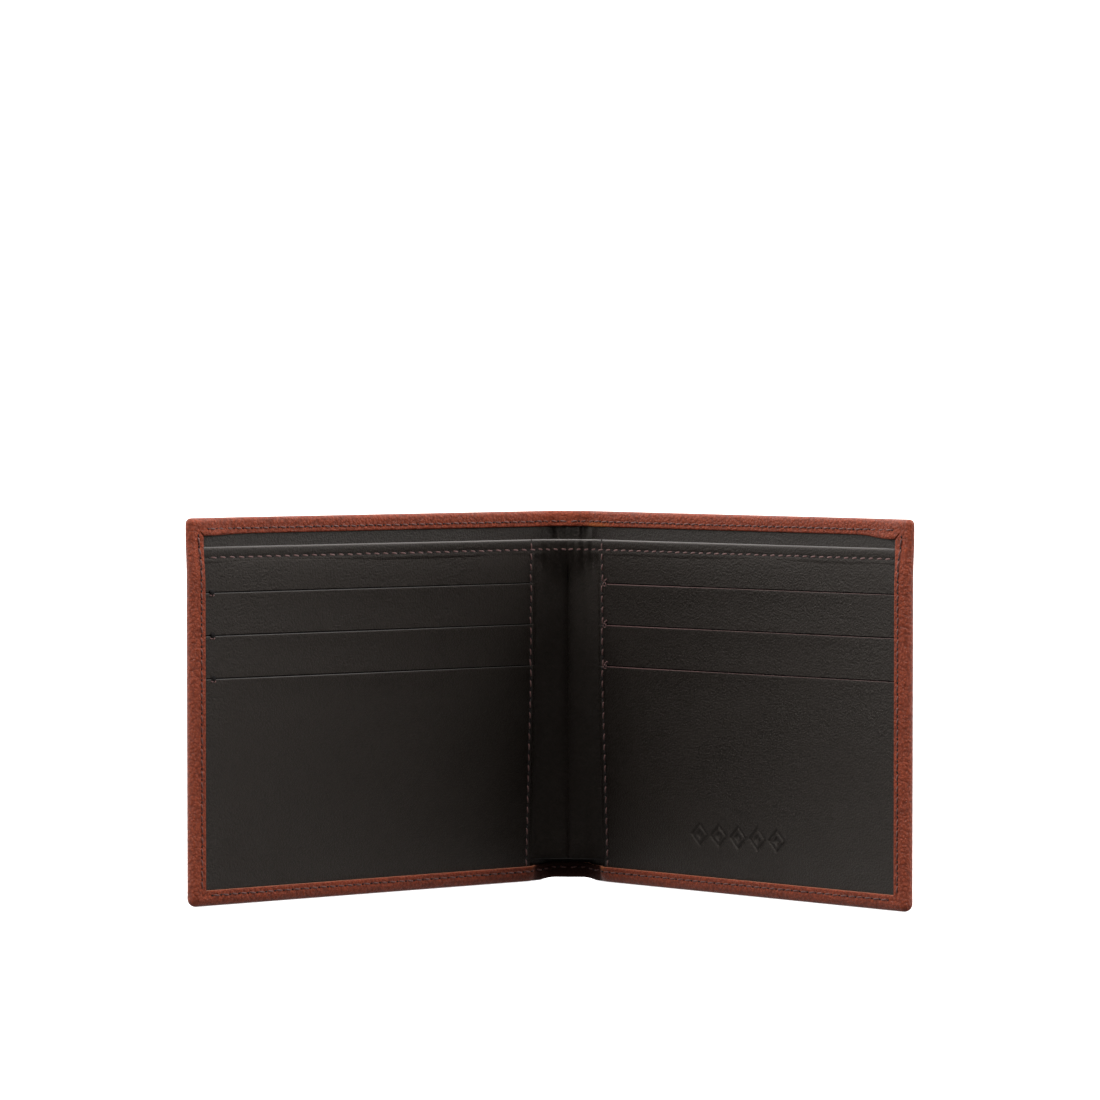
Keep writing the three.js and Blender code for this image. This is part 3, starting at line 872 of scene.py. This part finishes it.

# ---- The stitches ----
# Every seam is a lockstitch in thin thread, red-brown in the hems and pinkish-brown inside: short slanted
# stitches, each drawn down into its needle holes, where a flat near-black disc paints the shade in the hole.
# The hems' seams go right through the wallet, so they show on the outside too.
stitch_pitch, stitch_length, stitch_width = 2.65 * mm, 2.0 * mm, 0.4 * mm
stitch_thickness, stitch_rise, stitch_sink = 0.32 * mm, 0.1 * mm, 0.34 * mm
stitch_slant = math.radians(7)
thread_color = plain_material("pinkish-brown thread", (0.112, 0.048, 0.042), 0.55, 0.08 * mm, 0.2)
hem_thread = plain_material("red-brown hem thread", (0.1, 0.032, 0.024), 0.6, 0.08 * mm, 0.1)
needle_hole_shade = plain_material("needle hole", (0.004, 0.002, 0.002), 0.9, 0.1 * mm)

bpy.ops.object.select_all(action="DESELECT")
bpy.ops.mesh.primitive_cylinder_add(vertices=8, radius=0.5, depth=1, rotation=(0, math.pi / 2, 0))
stitch = bpy.context.object
bpy.ops.object.transform_apply(location=False, rotation=True, scale=False)
bpy.ops.object.mode_set(mode="EDIT")
for cut in (-0.36, -0.2, 0, 0.2, 0.36):
    bpy.ops.mesh.select_all(action="SELECT")
    bpy.ops.mesh.bisect(plane_co=(cut, 0, 0), plane_no=(1, 0, 0))
bpy.ops.object.mode_set(mode="OBJECT")
for vertex in stitch.data.vertices:
    x, y, z = vertex.co
    thin = 1 - 0.55 * smooth(0.3, 0.5, abs(x))
    vertex.co.x = x * stitch_length
    vertex.co.y = y * stitch_width * thin + x * stitch_length * math.tan(stitch_slant)
    vertex.co.z = z * stitch_thickness * thin + stitch_rise - stitch_sink * smooth(0.25, 0.5, abs(x))
stitch.data.materials.append(thread_color)
stitch.data.materials.append(needle_hole_shade)
# A flat near-black disc between stitches, painting the shade inside each needle hole.
hole_middle = (stitch_pitch / 2, 0, 0.02 * mm)
bpy.ops.mesh.primitive_cylinder_add(vertices=8, radius=0.5, depth=1, location=hole_middle)
hole = bpy.context.object
hole.scale = (0.7 * mm, 0.42 * mm, 0.14 * mm)
bpy.ops.object.transform_apply(location=True, rotation=True, scale=True)
hole.data.materials.append(thread_color)
hole.data.materials.append(needle_hole_shade)
for face in hole.data.polygons:
    face.material_index = 1
stitch.select_set(True)
bpy.context.view_layer.objects.active = stitch
bpy.ops.object.join()


def another_stitch():
    bpy.ops.object.select_all(action="DESELECT")
    stitch.select_set(True)
    bpy.context.view_layer.objects.active = stitch
    bpy.ops.object.duplicate()
    return bpy.context.object


def join_stitches(name, side, stitches):
    """Makes one piece of the stitches, with its faces outwards."""
    for part in stitches:
        part.select_set(True)
    bpy.context.view_layer.objects.active = stitches[0]
    if len(stitches) > 1:
        bpy.ops.object.join()
    joined = stitches[0]
    joined.name = name
    joined.data.name = name
    bpy.ops.object.mode_set(mode="EDIT")
    bpy.ops.mesh.select_all(action="SELECT")
    bpy.ops.mesh.normals_make_consistent(inside=False)
    bpy.ops.object.mode_set(mode="OBJECT")
    mirror_left(joined, side)
    return joined


def lay_stitches(piece, start, place):
    """Moves a row of stitches onto a seam: place(along, across, out) is a point of the leather there."""
    for vertex in piece.data.vertices:
        along, across, out = vertex.co
        number = math.floor((along + stitch_pitch / 2) / stitch_pitch)
        sideways = 0.1 * mm * noise.noise(Vector((number * 0.7, start * 900, 0.3)))
        lift = 0.05 * mm * noise.noise(Vector((number * 0.7, start * 900, 7.3)))
        vertex.co = place(start + along, across + sideways, out + lift)


def sew(name, side, thread, seams, nodes):
    """One object with a row of stitches for each (start, end, place) in seams."""
    rows = []
    for start, end, place in seams:
        row = another_stitch()
        count = math.floor((end - start) / stitch_pitch)
        finish_modifier(
            row, "ARRAY", count=count, use_relative_offset=False, use_constant_offset=True,
            constant_offset_displace=(stitch_pitch, 0, 0),
        )
        lay_stitches(row, start + stitch_pitch / 2, place)
        rows.append(row)
    seam = join_stitches(name, side, rows)
    seam.data.materials[0] = thread
    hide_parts(*nodes)
    return seam


seam_x, seam_top_z = outer_x - seam_inset, height - seam_inset
hem_face = cover_skin / 2 - 0.1 * mm
back_face = cover_skin / 2 - 0.08 * mm


def on_side_hem(along, across, out):
    return fold_up(seam_x + across, 2 * side_roll(along) + hem_face + out, along)


def on_bottom_hem(along, across, out):
    return fold_up(along, 2 * bottom_roll(along) + hem_face + out, raised(along, seam_inset + across))


def on_top_hem(along, across, out):
    return fold_up(along, 2 * top_roll(along) + hem_face + out, seam_top_z + across)


def on_divider(along, across, out):
    return divider_point(along, divider_seam_z + across, divider_skin / 2 - 0.06 * mm + out)


def behind_side(along, across, out):
    return fold_up(seam_x + across, -back_face - out, along)


def behind_bottom(along, across, out):
    return fold_up(along, -back_face - out, raised(along, seam_inset + across))


def behind_top(along, across, out):
    return fold_up(along, -back_face - out, seam_top_z + across)


for side in sides:
    right = side == "right"

    def on_pockets(along, across, out):
        x = pocket_seam_x + across
        steps = [smooth(top + 0.5 * mm, top - 0.5 * mm, along) for _, top, _ in layers]
        inwards = stretch(steps[0], 0, 1, divider_inwards(x, along), layer_inwards(0) + gape(x, along))
        inwards += layer_step * sum(steps[1:])
        return fold_up(x, inwards + pocket_skin / 2 - 0.08 * mm + out, along)

    rim_seams = [(0, seam_x - 1 * mm, on_bottom_hem), (4 * mm, seam_top_z + 1 * mm, on_side_hem)]
    rim_nodes = [f"{side}_rim_thread"] + ["spine_bottom_thread"] * right
    rim = sew(f"{side}_rim_stitches", side, hem_thread, rim_seams, rim_nodes)
    bend_with(rim, crease_start, crease_end)
    top = sew(
        f"{side}_top_stitches", side, hem_thread, [(0, seam_x - 1 * mm, on_top_hem)],
        [f"{side}_top_thread"] + ["spine_top_thread"] * right,
    )
    bend_with(top, crease_start, crease_end)
    across_divider = sew(
        f"{side}_divider_stitches", side, thread_color, [(0, divider_length - 2.4 * mm, on_divider)],
        [f"{side}_divider_thread"] + ["gusset_thread"] * right,
    )
    bend_with(across_divider, gusset_start, gusset_end)
    down_pockets = sew(
        f"{side}_pocket_stitches", side, thread_color, [(3.5 * mm, divider_top - 0.3 * mm, on_pockets)],
        [f"{side}_pocket_thread"],
    )
    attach(down_pockets, side + "_wing")
    outside_seams = [
        (0, seam_x - 1 * mm, behind_bottom),
        (4 * mm, seam_top_z - 1 * mm, behind_side),
        (0, seam_x - 1 * mm, behind_top),
    ]
    outside_nodes = [f"{side}_bobbin_thread"]
    outside_nodes += ["spine_top_bobbin_thread", "spine_bottom_bobbin_thread"] if right else []
    outside = sew(f"{side}_outside_stitches", side, hem_thread, outside_seams, outside_nodes)
    bend_with(outside, crease_start, crease_end)

# ---- The tacks ----
# The ends of the card slots take the strain, so one end of each is tacked: on the left wing with a small knot
# by the side hem, dark with the painted shade of its enlarged needle holes, and on the right wing with a
# frayed loop of thread by the pocket seam.
knot_x = {"left": rim_x - 2.6 * mm, "right": pocket_seam_x + 1.1 * mm}
# How much larger a knot's needle holes, with their discs of painted shade, are than a stitch's.
knot_hole = {"left": 2.0, "right": 1.2}
# Each thread of a knot has its length beside a stitch's, the radius in mm that it curls at, its direction in
# degrees from the middle of that curl, and where the middle lies, in mm across and up.
knot_threads = {
    "left": [
        (0.42, 0.8, 240, 0, 0.05),
        (0.42, 0.8, 300, 0, 0.05),
    ],
    "right": [
        (0.4, 0.46, 10, 0, -0.15),
        (0.4, 0.46, 100, 0, -0.15),
        (0.4, 0.5, 190, 0, -0.15),
        (0.4, 0.46, 280, 0, -0.15),
        (0.42, 0.7, 175, 0.75, 0.65),
        (0.3, 0.45, 80, 0.6, 0.7),
    ],
}


def is_needle_hole(along, out):
    beyond_stitch = along > stitch_length / 2 + 0.01 * mm
    at_its_end = abs(along - stitch_pitch / 2) < 0.36 * mm and abs(out) < 0.1 * mm
    return beyond_stitch or at_its_end


for side in sides:
    knots = []
    for index, (_, mouth, _) in enumerate(layers[1:], 1):
        for size, radius, degrees, middle_x, middle_z in knot_threads[side]:
            knot = another_stitch()
            turn = math.radians(degrees)
            for vertex in knot.data.vertices:
                along, across, out = vertex.co
                if is_needle_hole(along, out):
                    x = knot_x[side] + (along - stitch_pitch / 2) * knot_hole[side]
                    z = mouth + across * 2 * knot_hole[side]
                else:
                    bearing = turn + along * size / (radius * mm)
                    away = radius * mm + across * 0.8
                    x = knot_x[side] + middle_x * mm + away * math.cos(bearing)
                    z = mouth + middle_z * mm + away * math.sin(bearing)
                inwards = pocket_inwards(index, x, min(z, mouth), side) + pocket_skin / 2
                vertex.co = fold_up(x, inwards + out * 0.9, z)
            knots.append(knot)
    tacks = join_stitches(f"{side}_tacks", side, knots)
    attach(tacks, side + "_wing")
bpy.data.objects.remove(stitch)

# ---- The floor, the lights and the camera ----
# A white floor and a white background, under large soft lights. The room behind the camera is dark, as it is
# in a studio, so the wings mirror the bright sides near their rims and each other near the spine.
bpy.ops.object.select_all(action="DESELECT")
bpy.ops.mesh.primitive_plane_add(size=60)
floor = bpy.context.object
floor.name = "floor"
floor_paint = bpy.data.materials.new("floor paint")
floor_paint.use_nodes = True
floor_shader = floor_paint.node_tree.nodes["Principled BSDF"]
floor_shader.inputs["Base Color"].default_value = (0.95, 0.95, 0.95, 1)
floor_shader.inputs["Roughness"].default_value = 0.9
floor_shader.inputs["Emission Color"].default_value = (1, 1, 1, 1)
floor_shader.inputs["Emission Strength"].default_value = 0.75
floor.data.materials.append(floor_paint)
floor.visible_diffuse = False
floor.visible_glossy = False

studio = bpy.data.worlds.new("studio")
bpy.context.scene.world = studio
studio.use_nodes = True
world_nodes, world_links = studio.node_tree.nodes, studio.node_tree.links
direction = world_nodes.new("ShaderNodeTexCoord")
parts = world_nodes.new("ShaderNodeSeparateXYZ")
front_to_back = world_nodes.new("ShaderNodeMapRange")
front_to_back.inputs["From Min"].default_value = -0.75
front_to_back.inputs["From Max"].default_value = -0.1
front_to_back.inputs["To Min"].default_value = 0.1
front_to_back.inputs["To Max"].default_value = 2.15
below = world_nodes.new("ShaderNodeMapRange")
below.inputs["From Min"].default_value = -0.35
below.inputs["From Max"].default_value = 0.05
below.inputs["To Min"].default_value = 0.2
below.inputs["To Max"].default_value = 1
dimmed = world_nodes.new("ShaderNodeMath")
dimmed.operation = "MULTIPLY"
ray = world_nodes.new("ShaderNodeLightPath")
brighter = world_nodes.new("ShaderNodeMath")
brighter.operation = "MAXIMUM"
backdrop = world_nodes["Background"]
backdrop.inputs["Color"].default_value = (1, 1, 1, 1)
world_links.new(direction.outputs["Generated"], parts.inputs[0])
world_links.new(parts.outputs["Y"], front_to_back.inputs["Value"])
world_links.new(parts.outputs["Z"], below.inputs["Value"])
world_links.new(front_to_back.outputs["Result"], dimmed.inputs[0])
world_links.new(below.outputs["Result"], dimmed.inputs[1])
world_links.new(dimmed.outputs[0], brighter.inputs[0])
world_links.new(ray.outputs["Is Camera Ray"], brighter.inputs[1])
world_links.new(brighter.outputs[0], backdrop.inputs["Strength"])

wallet_middle = (0, 0, 0.04)


def soft_light(name, place, size, power):
    bpy.ops.object.light_add(type="AREA", location=place)
    light = bpy.context.object
    light.name = name
    light.data.shape = "DISK"
    light.data.size = size
    light.data.energy = power
    towards_wallet = Vector(wallet_middle) - Vector(place)
    light.rotation_euler = towards_wallet.to_track_quat("-Z", "Y").to_euler()


soft_light("left light", (-0.9, -0.6, 0.5), 0.3, 6)
soft_light("right light", (0.9, -0.5, 0.45), 0.4, 3.9)
soft_light("top light", (0.02, -0.25, 1.0), 0.15, 7.2)

camera_data = bpy.data.cameras.new("camera")
camera = bpy.data.objects.new("camera", camera_data)
bpy.context.collection.objects.link(camera)
camera_data.sensor_width = 36
camera_data.lens = 172.4
camera_data.clip_start = 0.05
camera_data.clip_end = 60
camera.location = (0.0859, crease_y - 1.3216, 0.1264)
camera.rotation_euler = (math.radians(90 - 1.875), 0, math.radians(3.926))
bpy.context.scene.camera = camera
bpy.context.scene.view_settings.view_transform = "Standard"
